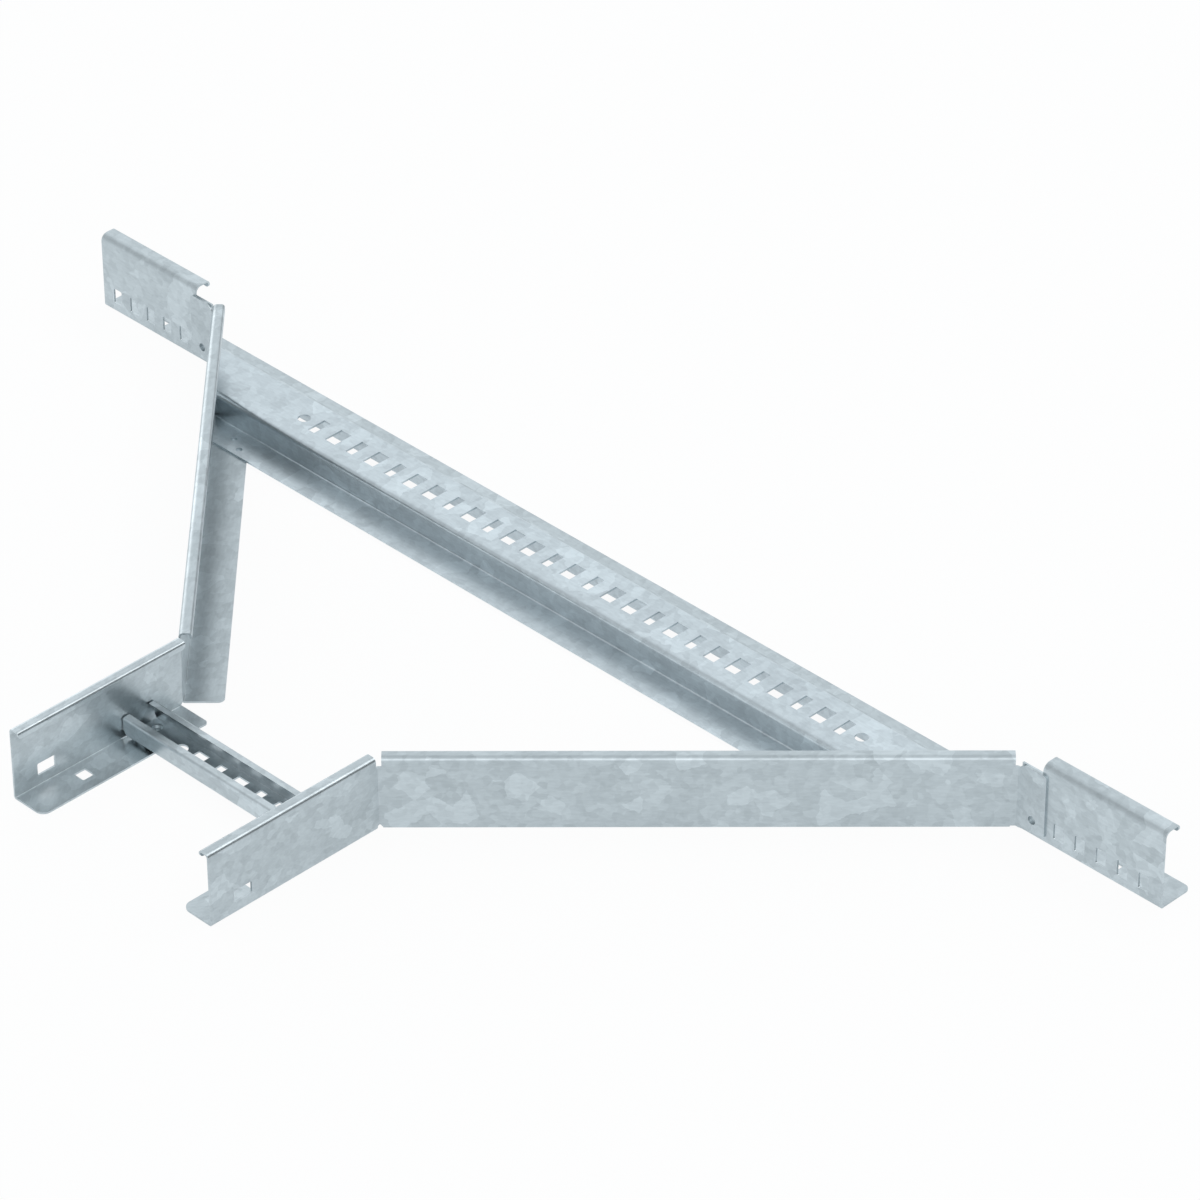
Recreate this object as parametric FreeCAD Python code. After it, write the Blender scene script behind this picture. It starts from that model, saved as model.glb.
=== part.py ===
import FreeCAD, Part
import math
import os

# All sizes are in millimetres. X runs from the narrow end to the wide end, Y across and Z up.
# The branch stands on the undersides of its rails, midway along X and Y.

# Sheet steel of every piece, and the play of a clinch button in its seat
sheet = 1.5
clinch_play = 0.05

# Plan of the branch, measured on the outer faces of the side rails
clear_width = 200.0
straight_length = 153.5
oblique_length = 433.0
branch_angle = 45.0

# Side rail: bottom flange, upright web and a lip turned in and down at the top
rail_height = 60.0
rail_flange_width = 30.0
rail_flange_bend = 2.0
rail_lip_width = 9.4
rail_lip_drop = 5.7
rail_lip_bend = 3.5
rail_lip_edge_bend = 2.5
rail_lip_corner = 3.0

# Where the flange and the lip are notched so that the web can be bent
web_bend = 1.5
notch_floor_height = 52.0
straight_notch_reach = 1.6
oblique_notch_reach = 2.4
flange_mitre_gap = 4.0
bend_relief_radius = 1.6
narrow_flange_corner = 7.0
straight_flange_corner = 3.0
oblique_flange_corner = 5.0

# Tab at the wide end of each side rail, which overlaps the connection rail
tab_length = 25.6
tab_end_rise = 5.5
tab_end_corner = 3.5
tab_shoulder_start = 4.5
tab_shoulder_radius = 9.0

# Holes at the narrow end for joining the next ladder length
narrow_slot_length = 16.0
narrow_slot_width = 9.7
narrow_slot_from_end = 28.8
narrow_slot_height = 14.0
flange_hole_size = 10.0
flange_hole_from_end = 50.7
flange_hole_from_web = 14.7
punch_corner = 1.0

# Connection rail across the wide end: flange, web and a hooked lip
wide_end_length = 129.3
connection_height = 64.0
connection_flange_width = 31.0
connection_flange_bend = 2.0
connection_flange_corner = 5.0
connection_lip_width = 15.0
connection_lip_drop = 6.2
connection_lip_bend = 6.0
connection_lip_edge_bend = 3.5
connection_lip_corner = 2.5
lip_from_bend = 21.3
low_web_from_bend = 2.8
joint_web_height = 56.5

# Joining holes at both ends of the connection rail
joint_slot_count = 5
joint_slot_pitch = 19.0
joint_slot_width = 9.0
joint_slot_length = 12.9
joint_slot_height = 14.15
joint_slot_from_end = 16.0
connection_hole_size = 8.5
connection_hole_from_end = 52.0
connection_hole_from_web = 12.8

# Cross member: low front flange, riser, perforated plate and a back flange on the connection rail's web
cross_flange_width = 26.4
cross_plate_width = 46.7
cross_plate_height = 22.0
cross_lower_bend = 2.5
cross_upper_inner_bend = 2.5
cross_back_bend = 1.0
cross_back_rise = 0.5
cross_end_gap = 2.0

# Perforation shared by the cross member and the rung
slot_pitch = 20.58
wide_slot_width = 11.0
thin_slot_width = 7.0
thin_slot_steps = (1, 4, 6, 9, 11, 13)
end_hole_radius = 5.0
end_hole_pitch = 16.3
cross_row_from_edge = 22.7
cross_slot_length = 17.0
cross_blank_end = 90.0
rung_slot_length = 13.8
rung_blank_end = 30.0
rung_row_from_middle = 1.6

# Rung: channel open at the top, raised on pressed cups
rung_from_end = 112.9
rung_width = 30.0
rung_height = 15.0
rung_lip_width = 6.0
rung_bend = 2.0
rung_lift = 2.5
rung_end_gap = 1.0
rung_notch_height = 5.0
rung_notch_depth = 3.0
cup_radius = 4.25
cup_wall = 1.0
cup_spacing = 12.6
cup_from_web = 11.8

# Clinches: the upper sheet pressed into the lower one
clinch_wall = 0.7
clinch_depth = 1.0
clinch_floor = 0.5
flange_punch_radius = 2.5
tab_punch_radius = 3.25
tab_clinch_from_bend = 14.3
tab_clinch_height = 14.0
cross_clinch_places = ((13.1, 19.4), (6.6, 23.9))

Vector = FreeCAD.Vector
UP = Vector(0, 0, 1)
FORWARD = Vector(1, 0, 0)
LEFTWARD = Vector(0, 1, 0)

# Places that follow from the sizes above
outer_half_width = clear_width / 2 + sheet
turn = math.radians(branch_angle)
oblique = Vector(math.cos(turn), math.sin(turn), 0)
oblique_inward = Vector(math.sin(turn), -math.cos(turn), 0)
narrow_corner = Vector(0, outer_half_width, 0)
first_bend = narrow_corner + FORWARD * straight_length
second_bend = first_bend + oblique * oblique_length
connection_face = second_bend.x + sheet
connection_half_length = second_bend.y + wide_end_length
overall_depth = connection_face + connection_flange_width
cross_back = connection_face
riser_back = cross_back - cross_plate_width + sheet
cross_front = riser_back - cross_flange_width
cross_row = cross_back - cross_row_from_edge


def rounded_line(points, radii):
    """Edges through the points, with an arc at each inner one, or none where its radius is 0."""
    edges = []
    start = points[0]
    for index, radius in enumerate(radii):
        corner = points[index + 1]
        if radius == 0:
            edges.append(Part.makeLine(start, corner))
            start = corner
            continue
        arriving = (corner - points[index]).normalize()
        leaving = (points[index + 2] - corner).normalize()
        half_turn = arriving.getAngle(leaving) / 2
        reach = radius * math.tan(half_turn)
        to_centre = (leaving - arriving).normalize()
        centre = corner + to_centre * (radius / math.cos(half_turn))
        arc_start = corner - arriving * reach
        arc_end = corner + leaving * reach
        edges.append(Part.makeLine(start, arc_start))
        edges.append(Part.Arc(arc_start, centre - to_centre * radius, arc_end).toShape())
        start = arc_end
    edges.append(Part.makeLine(start, points[-1]))
    return edges


def rounded_panel(points, radii):
    """Flat face with straight sides and rounded corners."""
    middle = (points[-1] + points[0]) * 0.5
    return Part.Face(Part.Wire(rounded_line([middle] + points + [middle], radii)))


def bent_sheet(points, radii, plane_normal):
    """Face of a bent sheet, seen along its bends.

    The points and radii are those of one surface. The metal lies on the side
    of each direction's cross product with the plane's normal.
    """
    directions = [(after - before).normalize() for before, after in zip(points, points[1:])]
    sides = [direction.cross(plane_normal) for direction in directions]
    far_points = [points[0] + sides[0] * sheet]
    far_radii = []
    for index, radius in enumerate(radii):
        mitre = sheet / (1 + sides[index].dot(sides[index + 1]))
        far_points.append(points[index + 1] + (sides[index] + sides[index + 1]) * mitre)
        folds_over_metal = sides[index].dot(directions[index + 1]) > 0
        far_radii.append(radius - sheet if folds_over_metal else radius + sheet)
    far_points.append(points[-1] + sides[-1] * sheet)
    near_side = rounded_line(points, radii)
    far_side = rounded_line(far_points[::-1], far_radii[::-1])
    far_end = Part.makeLine(points[-1], far_points[-1])
    near_end = Part.makeLine(far_points[0], points[0])
    return Part.Face(Part.Wire(near_side + [far_end] + far_side + [near_end]))


def section(corners, radii, base, inward):
    """Upright section of a sheet whose corners are given as reach inward and height."""
    points = [base + inward * reach + UP * height for reach, height in corners]
    return bent_sheet(points, radii, inward.cross(UP))


def block(low, high):
    """Box between two opposite corners."""
    size = high - low
    return Part.makeBox(size.x, size.y, size.z, low)


def punch(centre, along, across, length, width):
    """Rectangular punch with rounded corners, run well through the sheet it is centred on."""
    stroke = along.cross(across) * (4 * sheet)
    half_length = along * (length / 2)
    half_width = across * (width / 2)
    start = centre - stroke * 0.5
    corners = [start - half_length - half_width, start + half_length - half_width,
               start + half_length + half_width, start - half_length + half_width]
    return rounded_panel(corners, [punch_corner] * 4).extrude(stroke)


def round_corner(shape, corner, through, radius):
    """Round a free corner of the sheet, given by a point and the direction through the sheet."""
    edges = [edge for edge in shape.Edges
             if all((vertex.Point - corner).cross(through).Length < 0.01 for vertex in edge.Vertexes)]
    return shape.makeFillet(radius, edges)


def on_both_sides(place):
    """The place and its mirror image across the middle plane."""
    return [place, Vector(place.x, -place.y, place.z)]


def clinch_buttons(mouths, into, radius):
    """Pressed buttons of the upper sheet, from inside it to the bottom of their seats."""
    return [Part.makeCylinder(radius + clinch_wall, sheet / 2 + clinch_depth,
                              mouth + into * (sheet / 2), into) for mouth in mouths]


def clinch_pockets(mouths, into, radius):
    """Round pockets that the punch leaves in the upper sheet."""
    depth = sheet + clinch_depth - clinch_floor
    return [Part.makeCylinder(radius, depth, mouth, into) for mouth in mouths]


def clinch_seats(mouths, into, radius):
    """Seats that the buttons press into the lower sheet."""
    return [Part.makeCylinder(radius + clinch_wall + clinch_play, clinch_depth + clinch_play,
                              mouth + into * sheet, into) for mouth in mouths]


def perforation(row_x, height, row_half_length, slot_length):
    """Punches for a row of slots across the branch, centred in the sheet, and its end holes."""
    steps = int((row_half_length - end_hole_pitch) / slot_pitch)
    punches = []
    for step in range(-steps, steps + 1):
        width = thin_slot_width if abs(step) in thin_slot_steps else wide_slot_width
        half_size = Vector(slot_length / 2, width / 2, 2 * sheet)
        centre = Vector(row_x, step * slot_pitch, height)
        punches.append(block(centre - half_size, centre + half_size))
    end_hole = Vector(row_x, steps * slot_pitch + end_hole_pitch, height - 2 * sheet)
    for place in on_both_sides(end_hole):
        punches.append(Part.makeCylinder(end_hole_radius, 4 * sheet, place))
    return punches


def rail_face_y(x):
    """Y of the left rail's outer face where its oblique leg passes the given X."""
    return first_bend.y + (x - first_bend.x) * math.tan(turn)


# Places of the clinches, on the upper face of the upper sheet
tab_clinch = Vector(second_bend.x, second_bend.y + tab_clinch_from_bend, tab_clinch_height)
cross_clinches = []
for from_front, from_rail in cross_clinch_places:
    clinch_x = cross_front + from_front
    clinch_y = rail_face_y(clinch_x) - from_rail / math.cos(turn)
    cross_clinches.append(Vector(clinch_x, clinch_y, 2 * sheet))
cup_clinches = [Vector(rung_from_end + side * cup_spacing / 2, clear_width / 2 - cup_from_web, 2 * sheet)
                for side in (-1, 1)]


def rail_leg(start, along, inward, length):
    """Straight length of side rail."""
    corners = [(rail_flange_width, 0), (0, 0), (0, rail_height), (rail_lip_width, rail_height),
               (rail_lip_width, rail_height - rail_lip_drop)]
    radii = [rail_flange_bend, rail_lip_bend, rail_lip_edge_bend]
    leg = section(corners, radii, start, inward).extrude(along * length)
    lip_edge = start + inward * rail_lip_width + UP * (rail_height - rail_lip_drop)
    for place in (lip_edge, lip_edge + along * length):
        leg = round_corner(leg, place, inward, rail_lip_corner)
    return leg


def straight_leg():
    """Leg beside the narrow opening."""
    length = straight_length - straight_notch_reach
    leg = rail_leg(narrow_corner, FORWARD, -LEFTWARD, length)
    free_edge_y = outer_half_width - rail_flange_width
    leg = round_corner(leg, Vector(0, free_edge_y, 0), UP, narrow_flange_corner)
    return round_corner(leg, Vector(length, free_edge_y, 0), UP, straight_flange_corner)


def oblique_leg():
    """Leg that runs out to the wide end, its flange mitred in front of the connection rail."""
    start = first_bend + oblique * oblique_notch_reach
    length = oblique_length - oblique_notch_reach - web_bend
    leg = rail_leg(start, oblique, oblique_inward, length)
    corner = start + oblique_inward * rail_flange_width
    leg = round_corner(leg, corner, UP, oblique_flange_corner)
    low = Vector(connection_face - flange_mitre_gap, 0, -sheet)
    high = Vector(overall_depth, connection_half_length, rail_flange_bend)
    return leg.cut(block(low, high))


def bent_web():
    """Web between the notches, carried round both bends."""
    strip_end = second_bend + LEFTWARD * (2 * web_bend)
    path = [point + UP * rail_flange_bend for point in (narrow_corner, first_bend, second_bend, strip_end)]
    web = bent_sheet(path, [web_bend, web_bend], UP).extrude(UP * (notch_floor_height - rail_flange_bend))
    outward = Vector(-math.sin(turn / 2), math.cos(turn / 2), 0)
    relief_start = first_bend + UP * rail_flange_bend - outward * (2 * sheet)
    return web.cut(Part.makeCylinder(bend_relief_radius, 4 * sheet, relief_start, outward))


def tab():
    """Tab that lies flat on the connection rail's web."""
    start = web_bend
    corners = [(start, rail_flange_bend), (tab_length, tab_end_rise), (tab_length, joint_web_height),
               (tab_shoulder_start, joint_web_height), (start, notch_floor_height)]
    points = [second_bend + LEFTWARD * reach + UP * height for reach, height in corners]
    outline = rounded_line([points[0]] + points[1:] + [points[0]], [0, tab_end_corner, tab_shoulder_radius, 0])
    return Part.Face(Part.Wire(outline)).extrude(FORWARD * sheet)


def left_side_rail():
    """Side rail notched, bent twice and punched, with the seats of its clinches."""
    rail = bent_web().fuse([straight_leg(), oblique_leg(), tab()]).removeSplitter()
    web_slot = Vector(narrow_slot_from_end, outer_half_width - sheet / 2, narrow_slot_height)
    flange_hole = Vector(flange_hole_from_end, outer_half_width - flange_hole_from_web, sheet / 2)
    punches = [punch(web_slot, FORWARD, UP, narrow_slot_length, narrow_slot_width),
               punch(flange_hole, FORWARD, LEFTWARD, flange_hole_size, flange_hole_size)]
    seats = clinch_seats(cross_clinches + cup_clinches, -UP, flange_punch_radius)
    rail = rail.cut(punches + seats)
    buttons = clinch_buttons([tab_clinch], FORWARD, tab_punch_radius)
    pockets = clinch_pockets([tab_clinch], FORWARD, tab_punch_radius)
    return rail.fuse(buttons).cut(pockets)


def connection_rail():
    """Rail across the wide end, its lip and web cut down between the joints."""
    corners = [(connection_flange_width, 0), (0, 0), (0, connection_height),
               (connection_lip_width, connection_height),
               (connection_lip_width, connection_height - connection_lip_drop)]
    radii = [connection_flange_bend, connection_lip_bend, connection_lip_edge_bend]
    start = Vector(connection_face, -connection_half_length, 0)
    rail = section(corners, radii, start, FORWARD).extrude(LEFTWARD * (2 * connection_half_length))
    for corner in on_both_sides(Vector(overall_depth, connection_half_length, 0)):
        rail = round_corner(rail, corner, UP, connection_flange_corner)
    for height, half_length in ((joint_web_height, second_bend.y + lip_from_bend),
                                (cross_plate_height, second_bend.y + low_web_from_bend)):
        low = Vector(connection_face - sheet, -half_length, height)
        high = Vector(overall_depth, half_length, connection_height + sheet)
        rail = rail.cut(block(low, high))
    lip_x = connection_face + connection_lip_width
    for reach in (second_bend.y + lip_from_bend, connection_half_length):
        for place in on_both_sides(Vector(lip_x, reach, connection_height - connection_lip_drop)):
            rail = round_corner(rail, place, FORWARD, connection_lip_corner)
    punches = []
    for index in range(joint_slot_count):
        slot_y = connection_half_length - joint_slot_from_end - index * joint_slot_pitch
        for place in on_both_sides(Vector(connection_face + sheet / 2, slot_y, joint_slot_height)):
            punches.append(punch(place, LEFTWARD, UP, joint_slot_width, joint_slot_length))
    hole_y = connection_half_length - connection_hole_from_end
    for place in on_both_sides(Vector(connection_face + connection_hole_from_web, hole_y, sheet / 2)):
        punches.append(punch(place, FORWARD, LEFTWARD, connection_hole_size, connection_hole_size))
    seats = clinch_seats(on_both_sides(tab_clinch), FORWARD, tab_punch_radius)
    return rail.cut(punches + seats)


def cross_member():
    """Step-shaped member between the side rails, seated on their flanges and flat against the low web."""
    points = [Vector(cross_front, 0, sheet), Vector(riser_back, 0, sheet),
              Vector(riser_back, 0, cross_plate_height), Vector(cross_back - sheet, 0, cross_plate_height),
              Vector(cross_back - sheet, 0, cross_back_rise)]
    profile = bent_sheet(points, [cross_lower_bend, cross_upper_inner_bend, cross_back_bend], LEFTWARD)
    end_offset = (sheet + cross_end_gap) / math.cos(turn)
    front_y = rail_face_y(cross_front) - end_offset
    back_y = rail_face_y(cross_back) - end_offset
    member = profile.translated(Vector(0, -back_y, 0)).extrude(LEFTWARD * (2 * back_y))
    plan = [Vector(cross_front, -front_y, 0), Vector(cross_back, -back_y, 0),
            Vector(cross_back, back_y, 0), Vector(cross_front, front_y, 0)]
    member = member.common(Part.Face(Part.makePolygon(plan + plan[:1])).extrude(UP * rail_height))
    row_half_length = rail_face_y(cross_row) - cross_blank_end
    punches = perforation(cross_row, cross_plate_height + sheet / 2, row_half_length, cross_slot_length)
    mouths = [mouth for clinch in cross_clinches for mouth in on_both_sides(clinch)]
    member = member.cut(punches).fuse(clinch_buttons(mouths, -UP, flange_punch_radius))
    return member.cut(clinch_pockets(mouths, -UP, flange_punch_radius))


def rung():
    """Channel between the straight legs, with cups pressed down to the rail flanges."""
    base = sheet + rung_lift
    front = rung_from_end - rung_width / 2
    corners = [(rung_lip_width, rung_height), (0, rung_height), (0, 0), (rung_width, 0),
               (rung_width, rung_height), (rung_width - rung_lip_width, rung_height)]
    half_length = clear_width / 2 - rung_end_gap
    points = [Vector(front + reach, -half_length, base + height) for reach, height in corners]
    channel = bent_sheet(points, [rung_bend] * 4, LEFTWARD).extrude(LEFTWARD * (2 * half_length))
    for side in (-1, 1):
        corner = Vector(front, side * half_length, base)
        notch = [corner, corner - LEFTWARD * (side * rung_notch_depth), corner + UP * rung_notch_height]
        channel = channel.cut(Part.Face(Part.makePolygon(notch + notch[:1])).extrude(FORWARD * rung_width))
    row_half_length = outer_half_width - rung_blank_end
    row_x = rung_from_end + rung_row_from_middle
    channel = channel.cut(perforation(row_x, base + sheet / 2, row_half_length, rung_slot_length))
    mouths = [mouth for clinch in cup_clinches for mouth in on_both_sides(clinch)]
    cups = [Part.makeCylinder(cup_radius + cup_wall, rung_lift + sheet / 2, mouth - UP * sheet)
            for mouth in mouths]
    hollows = [Part.makeCylinder(cup_radius, rung_lift + sheet, mouth) for mouth in mouths]
    channel = channel.fuse(cups).cut(hollows)
    channel = channel.fuse(clinch_buttons(mouths, -UP, flange_punch_radius))
    return channel.cut(clinch_pockets(mouths, -UP, flange_punch_radius))


def write(name, shape):
    """Write one piece, moved so that the origin is midway along the branch."""
    placed = shape.removeSplitter().translated(Vector(-overall_depth / 2, 0, 0))
    placed.exportStep("parts/" + name + ".step")


os.makedirs("parts", exist_ok=True)
left_rail = left_side_rail()
write("side_rail_left", left_rail)
write("side_rail_right", left_rail.mirror(Vector(0, 0, 0), LEFTWARD))
write("connection_rail", connection_rail())
write("cross_member", cross_member())
write("rung", rung())
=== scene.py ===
import math
import bpy
from mathutils import Matrix, Vector

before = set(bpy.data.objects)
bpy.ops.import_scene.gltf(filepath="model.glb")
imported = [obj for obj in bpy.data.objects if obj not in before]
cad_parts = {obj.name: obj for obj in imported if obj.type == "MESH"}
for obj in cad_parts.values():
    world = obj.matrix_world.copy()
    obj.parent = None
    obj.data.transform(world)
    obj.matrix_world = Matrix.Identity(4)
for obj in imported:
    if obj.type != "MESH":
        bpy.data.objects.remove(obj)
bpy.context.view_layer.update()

# Side rails: one strip each of 1.5 mm steel sheet, roll-formed with a bottom flange and a hooked lip,
# notched and bent twice in a press. They were dipped in molten zinc, which froze into a soft grey spangle.
MM = 0.001


def linear(hex_colour):
    """Linear RGBA of an sRGB hex colour."""
    channels = [int(hex_colour[i:i + 2], 16) / 255 for i in (1, 3, 5)]
    return [c / 12.92 if c <= 0.04045 else ((c + 0.055) / 1.055) ** 2.4 for c in channels] + [1.0]


def add_node(tree, kind, settings=None, **links):
    """Add a node, set its properties, and set or link its inputs by name, or by place as in _0."""
    node = tree.nodes.new(kind)
    for name, value in (settings or {}).items():
        setattr(node, name, value)
    for name, value in links.items():
        if name[0] == "_":
            socket = node.inputs[int(name[1:])]
        else:
            socket = node.inputs[name.replace("_", " ")]
        if isinstance(value, bpy.types.NodeSocket):
            tree.links.new(value, socket)
        else:
            socket.default_value = value
    return node


def galvanised_steel(name, offset_mm, rolling_turn, colours):
    """Hot-dip galvanised sheet. To the eye it is a pale grey metal, blotched by zinc crystals that reflect
    unlike each other, over faint rolling marks and a shallow ripple."""
    crystal_size = 17 * MM
    small_crystal_size = 5 * MM
    stretch_along_x = 1.25
    edge_wander = 3.5 * MM
    wander_size = 9 * MM
    mark_length = 7 * MM
    mark_width = 1.8 * MM
    ripple_size = 34 * MM
    ripple_depth = 0.4 * MM
    # Tone against the share of the crystals below it: most are middling, and about a fifth are bright.
    crystal_tones = [(0.0, 0.2), (0.25, 0.42), (0.75, 0.5), (0.86, 0.88), (1.0, 1.0)]
    crystal_weight = 0.6
    small_crystal_weight = 0.36
    mark_weight = 0.6
    tone_shift = -0.26
    # Bright crystals are the smoothest. Below about 0.27 the render's noise filter leaves specks in them.
    dull_roughness = 0.34
    bright_roughness = 0.28

    material = bpy.data.materials.new(name)
    material.use_nodes = True
    tree = material.node_tree
    tree.nodes.clear()
    coords = add_node(tree, "ShaderNodeTexCoord")
    placed = add_node(tree, "ShaderNodeMapping", Vector=coords.outputs["Object"],
                      Location=[offset_mm * MM, 0, 0], Rotation=[0, 0, rolling_turn],
                      Scale=[1 / stretch_along_x, 1, 1])

    # A noise of its own shifts the crystals' edges, so that they wander as frozen zinc does.
    wander = add_node(tree, "ShaderNodeTexNoise", Vector=placed.outputs["Vector"],
                      Scale=1 / wander_size, Detail=2.5, Roughness=0.55)
    centred = add_node(tree, "ShaderNodeVectorMath", {"operation": "SUBTRACT"},
                       _0=wander.outputs["Color"], _1=[0.5, 0.5, 0.5])
    shifted = add_node(tree, "ShaderNodeVectorMath", {"operation": "MULTIPLY_ADD"},
                       _0=centred.outputs["Vector"], _1=[2 * edge_wander] * 3, _2=placed.outputs["Vector"])
    crystals = add_node(tree, "ShaderNodeTexVoronoi", Vector=shifted.outputs["Vector"],
                        Scale=1 / crystal_size)
    small_crystals = add_node(tree, "ShaderNodeTexVoronoi", {"feature": "SMOOTH_F1"},
                              Vector=shifted.outputs["Vector"], Scale=1 / small_crystal_size,
                              Smoothness=0.25)
    crystal_tone = add_node(tree, "ShaderNodeSeparateColor", Color=crystals.outputs["Color"])
    small_tone = add_node(tree, "ShaderNodeSeparateColor", Color=small_crystals.outputs["Color"])
    bright_few = add_node(tree, "ShaderNodeFloatCurve", Value=crystal_tone.outputs["Red"])
    curve = bright_few.mapping.curves[0]
    curve.points[0].location = crystal_tones[0]
    curve.points[-1].location = crystal_tones[-1]
    for share_below, tone_there in crystal_tones[1:-1]:
        curve.points.new(share_below, tone_there)

    stretched = add_node(tree, "ShaderNodeVectorMath", {"operation": "MULTIPLY"},
                         _0=placed.outputs["Vector"], _1=[1 / mark_length, 1 / mark_width, 1 / mark_width])
    marks = add_node(tree, "ShaderNodeTexNoise", Vector=stretched.outputs["Vector"], Scale=1.0, Detail=2.0)

    large_part = add_node(tree, "ShaderNodeMath", {"operation": "MULTIPLY_ADD"},
                          _0=bright_few.outputs["Value"], _1=crystal_weight, _2=tone_shift)
    with_small = add_node(tree, "ShaderNodeMath", {"operation": "MULTIPLY_ADD"},
                          _0=small_tone.outputs["Red"], _1=small_crystal_weight,
                          _2=large_part.outputs["Value"])
    tone = add_node(tree, "ShaderNodeMath", {"operation": "MULTIPLY_ADD"},
                    _0=marks.outputs["Fac"], _1=mark_weight, _2=with_small.outputs["Value"])
    colour = add_node(tree, "ShaderNodeMix", {"data_type": "RGBA"}, Factor=tone.outputs["Value"],
                      _6=linear(colours[0]), _7=linear(colours[1]))
    roughness = add_node(tree, "ShaderNodeMapRange", Value=tone.outputs["Value"],
                         To_Min=dull_roughness, To_Max=bright_roughness)
    ripple = add_node(tree, "ShaderNodeTexNoise", Vector=placed.outputs["Vector"],
                      Scale=1 / ripple_size, Detail=2.0)
    bump = add_node(tree, "ShaderNodeBump", Strength=0.2, Distance=ripple_depth,
                    Height=ripple.outputs["Fac"])
    shader = add_node(tree, "ShaderNodeBsdfPrincipled", Base_Color=colour.outputs[2],
                      Roughness=roughness.outputs["Result"], Normal=bump.outputs["Normal"], Metallic=1.0)
    add_node(tree, "ShaderNodeOutputMaterial", Surface=shader.outputs["BSDF"])
    return material


def finish_node(node_name, material):
    """Give a CAD node its finish."""
    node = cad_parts[node_name]
    node.data.materials.clear()
    node.data.materials.append(material)


# Each rail's rolling marks follow its oblique leg.
rail_zinc = ("#B1B8BB", "#D4DBDE")
finish_node("side_rail_left",
            galvanised_steel("hot_dip_galvanised_rail_left", 0, math.radians(-45), rail_zinc))
finish_node("side_rail_right",
            galvanised_steel("hot_dip_galvanised_rail_right", 300, math.radians(45), rail_zinc))

# Connection rail: one long strip of the same sheet across the wide end, folded with a flange and a larger
# hook, its web cut low between the side rails. It was galvanised after it was cut, so its edges are zinc too.
connection_zinc = ("#B3BABD", "#D6DDE0")
along_y = math.radians(90)
finish_node("connection_rail",
            galvanised_steel("hot_dip_galvanised_connection_rail", 700, along_y, connection_zinc))

# Cross member: a step folded from punched sheet, clinched down on the side rails' flanges.
# Its zinc froze a little brighter than the rails'.
plate_zinc = ("#BCC3C7", "#E0E8EC")
finish_node("cross_member",
            galvanised_steel("hot_dip_galvanised_cross_member", 1100, along_y, plate_zinc))

# Rung: a narrow channel folded from punched and galvanised sheet, open at the top. It stands on pressed
# cups on the side rails' flanges and is clinched through them.
rung_zinc = ("#B6BDC0", "#DAE1E4")
finish_node("rung", galvanised_steel("hot_dip_galvanised_rung", 1500, along_y, rung_zinc))

# Studio floor: a plain white sweep that the branch stands on. Most of its white is given straight to the
# camera and to reflections, so that it stays even, and the matt rest keeps a soft shadow.
TENT_WHITE = "#F4FBFF"
floor_half = 20.0
# A hair below the undersides, so that no face of the part lies in the floor's plane.
floor_level = -0.3 * MM
camera_share = 0.94
mirror_share = 0.71
floor_mesh = bpy.data.meshes.new("floor")
floor_mesh.from_pydata([(-floor_half, -floor_half, floor_level), (floor_half, -floor_half, floor_level),
                        (floor_half, floor_half, floor_level), (-floor_half, floor_half, floor_level)],
                       [], [(0, 1, 2, 3)])
floor = bpy.data.objects.new("floor", floor_mesh)
bpy.context.scene.collection.objects.link(floor)
floor_material = bpy.data.materials.new("white_studio_floor")
floor_material.use_nodes = True
tree = floor_material.node_tree
tree.nodes.clear()
path = add_node(tree, "ShaderNodeLightPath")
mirrored = add_node(tree, "ShaderNodeMath", {"operation": "MAXIMUM"},
                    _0=path.outputs["Is Glossy Ray"], _1=path.outputs["Is Transmission Ray"])
mirror_part = add_node(tree, "ShaderNodeMath", {"operation": "MULTIPLY"},
                       _0=mirrored.outputs["Value"], _1=mirror_share)
share = add_node(tree, "ShaderNodeMath", {"operation": "MULTIPLY_ADD"},
                 _0=path.outputs["Is Camera Ray"], _1=camera_share, _2=mirror_part.outputs["Value"])
matt = add_node(tree, "ShaderNodeBsdfDiffuse", Color=linear("#F8F8F8"))
glow_colour = add_node(tree, "ShaderNodeMix", {"data_type": "RGBA"}, Factor=path.outputs["Is Camera Ray"],
                       _6=linear(TENT_WHITE), _7=linear("#FFFFFF"))
glow = add_node(tree, "ShaderNodeEmission", Color=glow_colour.outputs[2], Strength=1.0)
blend = add_node(tree, "ShaderNodeMixShader", Fac=share.outputs["Value"],
                 _1=matt.outputs["BSDF"], _2=glow.outputs["Emission"])
add_node(tree, "ShaderNodeOutputMaterial", Surface=blend.outputs["Shader"])
floor_mesh.materials.append(floor_material)

# Studio light: a white tent that is dimmer overhead, open low on the right, and a little darker high on
# the left. One soft box stands above the gap on the right, one low behind the camera and one low far left.
overhead_brightness = 0.77
towards_right = [0.707, -0.707, 0]
right_gap_depth = 0.75
towards_left_patch = [-0.579, 0.579, 0.574]
left_patch_depth = 0.32
scene = bpy.context.scene
scene.view_settings.view_transform = "Standard"
world = bpy.data.worlds.new("white_tent")
world.use_nodes = True
scene.world = world
tree = world.node_tree
tree.nodes.clear()
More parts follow.
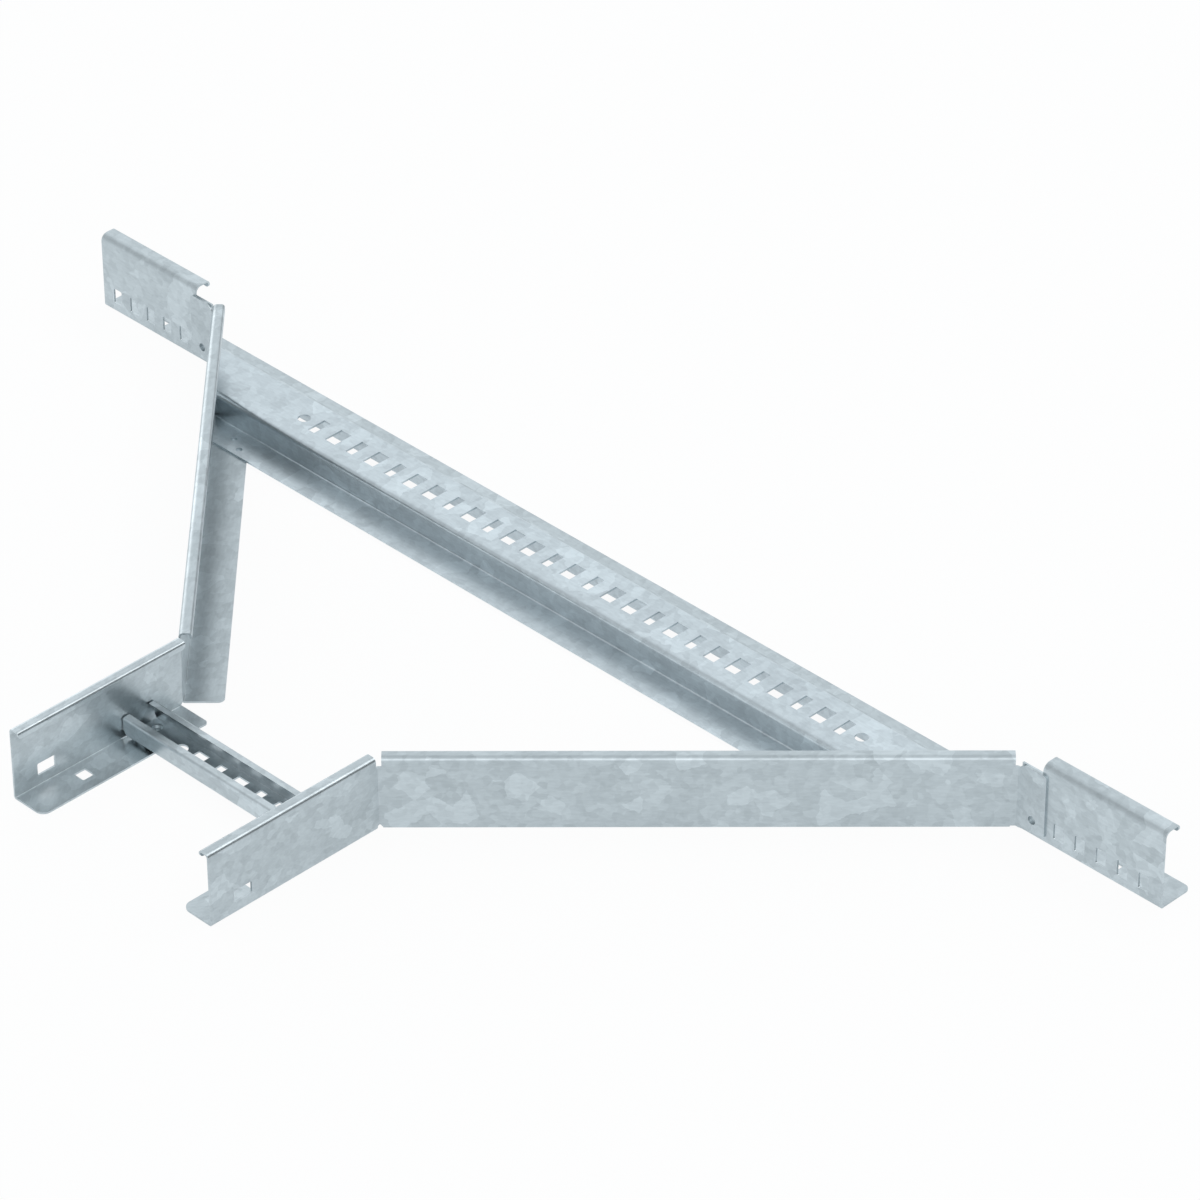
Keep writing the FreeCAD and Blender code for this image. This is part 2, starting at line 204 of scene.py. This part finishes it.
# Heights here are sines of an elevation, and sides are cosines of the angle to a named direction.
direction = add_node(tree, "ShaderNodeTexCoord").outputs["Generated"]
height = add_node(tree, "ShaderNodeSeparateXYZ", Vector=direction)
overhead = add_node(tree, "ShaderNodeMapRange", Value=height.outputs["Z"],
                    From_Min=0.65, From_Max=1.0, To_Min=1.0, To_Max=overhead_brightness)
rightward = add_node(tree, "ShaderNodeVectorMath", {"operation": "DOT_PRODUCT"},
                     _0=direction, _1=towards_right)
gap_side = add_node(tree, "ShaderNodeMapRange", Value=rightward.outputs["Value"],
                    From_Min=0.35, From_Max=0.65, To_Min=0.0, To_Max=right_gap_depth)
right_gap = add_node(tree, "ShaderNodeMapRange", Value=height.outputs["Z"],
                     From_Min=0.5, From_Max=0.62, To_Min=gap_side.outputs["Result"], To_Max=0.0)
without_gap = add_node(tree, "ShaderNodeMath", {"operation": "SUBTRACT"},
                       _0=overhead.outputs["Result"], _1=right_gap.outputs["Result"])
leftward = add_node(tree, "ShaderNodeVectorMath", {"operation": "DOT_PRODUCT"},
                    _0=direction, _1=towards_left_patch)
left_patch = add_node(tree, "ShaderNodeMapRange", Value=leftward.outputs["Value"],
                      From_Min=0.8, From_Max=0.96, To_Min=0.0, To_Max=left_patch_depth)
brightness = add_node(tree, "ShaderNodeMath", {"operation": "SUBTRACT"},
                      _0=without_gap.outputs["Value"], _1=left_patch.outputs["Result"])
background = add_node(tree, "ShaderNodeBackground", Color=linear(TENT_WHITE),
                      Strength=brightness.outputs["Value"])
add_node(tree, "ShaderNodeOutputWorld", Surface=background.outputs["Background"])


def soft_box(name, azimuth, elevation, width, height, power):
    """Area light that faces the branch; azimuth is the side it stands on, from +X to +Y."""
    distance = 3.0
    light = bpy.data.lights.new(name, "AREA")
    light.shape = "RECTANGLE"
    light.size = width
    light.size_y = height
    light.energy = power
    lamp = bpy.data.objects.new(name, light)
    scene.collection.objects.link(lamp)
    side = math.radians(azimuth)
    rise = math.radians(elevation)
    towards = Vector((math.cos(rise) * math.cos(side), math.cos(rise) * math.sin(side), math.sin(rise)))
    lamp.location = towards * distance
    lamp.rotation_euler = towards.to_track_quat("Z", "Y").to_euler()


soft_box("right_soft_box", azimuth=-32, elevation=50, width=2.0, height=1.0, power=8.0)
soft_box("front_soft_box", azimuth=225, elevation=20, width=1.8, height=1.8, power=5.0)
soft_box("far_left_soft_box", azimuth=74, elevation=14, width=1.6, height=1.3, power=5.0)

# Camera: a long lens at the photograph's place, looking down across the branch from its narrow end.
# Place, angles and focal length are fitted to the part's straight edges as the photograph shows them.
image_size = 1200
focal_pixels = 6026.8
sensor_width = 36.0
heading = math.radians(45.289)
pitch = math.radians(35.018)
roll = math.radians(-0.241)
camera_place = Vector((-2.28975, -2.5353, 2.4845))
lens = bpy.data.cameras.new("camera")
lens.sensor_width = sensor_width
lens.lens = focal_pixels / image_size * sensor_width
lens.clip_end = 100
camera = bpy.data.objects.new("camera", lens)
scene.collection.objects.link(camera)
forward = Vector((math.cos(pitch) * math.cos(heading), math.cos(pitch) * math.sin(heading),
                  -math.sin(pitch)))
level_right = Vector((math.sin(heading), -math.cos(heading), 0))
level_up = level_right.cross(forward)
right = level_right * math.cos(roll) + level_up * math.sin(roll)
up = level_up * math.cos(roll) - level_right * math.sin(roll)
turned = Matrix((right, up, -forward)).transposed().to_4x4()
camera.matrix_world = Matrix.Translation(camera_place) @ turned
scene.camera = camera
